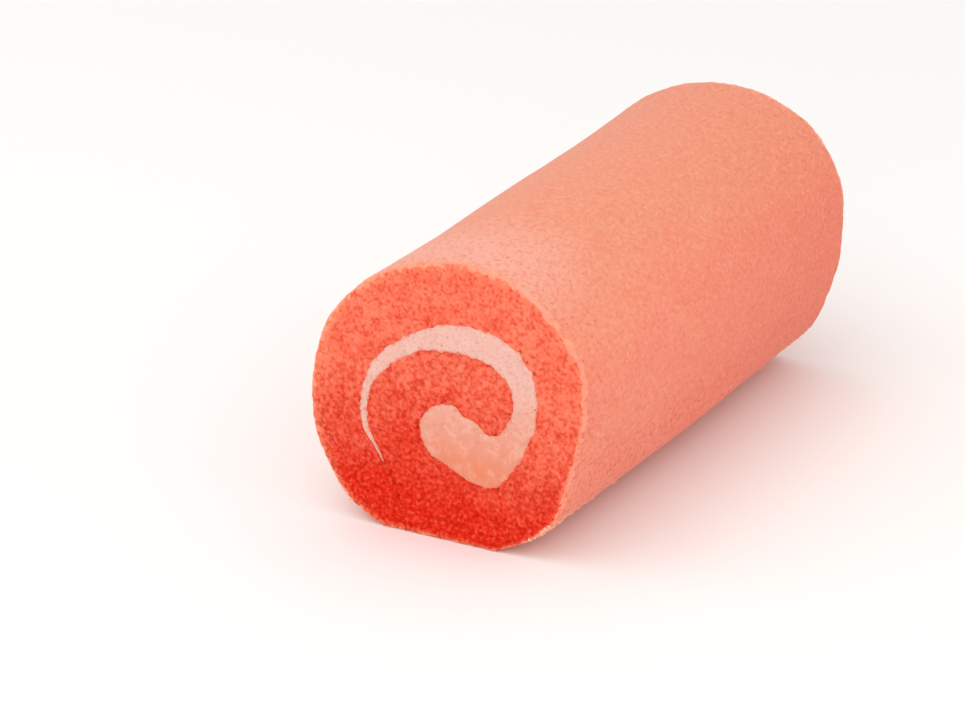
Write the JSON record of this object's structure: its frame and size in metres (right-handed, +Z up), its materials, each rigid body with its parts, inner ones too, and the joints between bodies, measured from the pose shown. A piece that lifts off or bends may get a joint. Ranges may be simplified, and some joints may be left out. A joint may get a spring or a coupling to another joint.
{
  "type": "swiss roll cake",
  "caption": "Swiss roll: a soft coral-red sponge sheet rolled round a pale pink cream filling, with the spiral showing at both square-cut ends.",
  "frame": {"origin": "centre of the roll's footprint, on the surface that the roll rests on", "axes": "+Y along the roll from the front end to the back end, +X to the right seen from the front, +Z up"},
  "size_m": [0.0883, 0.167, 0.0843],
  "materials": {
    "sponge": "open coral-red crumb at the cut ends under a paler salmon-pink skin, fully matte",
    "cream": "pale peach-pink whipped cream, finely porous and matte"
  },
  "bodies": {
    "root": {"sponge": "sponge", "cream_filling": "cream"}
  },
  "joints": []
}
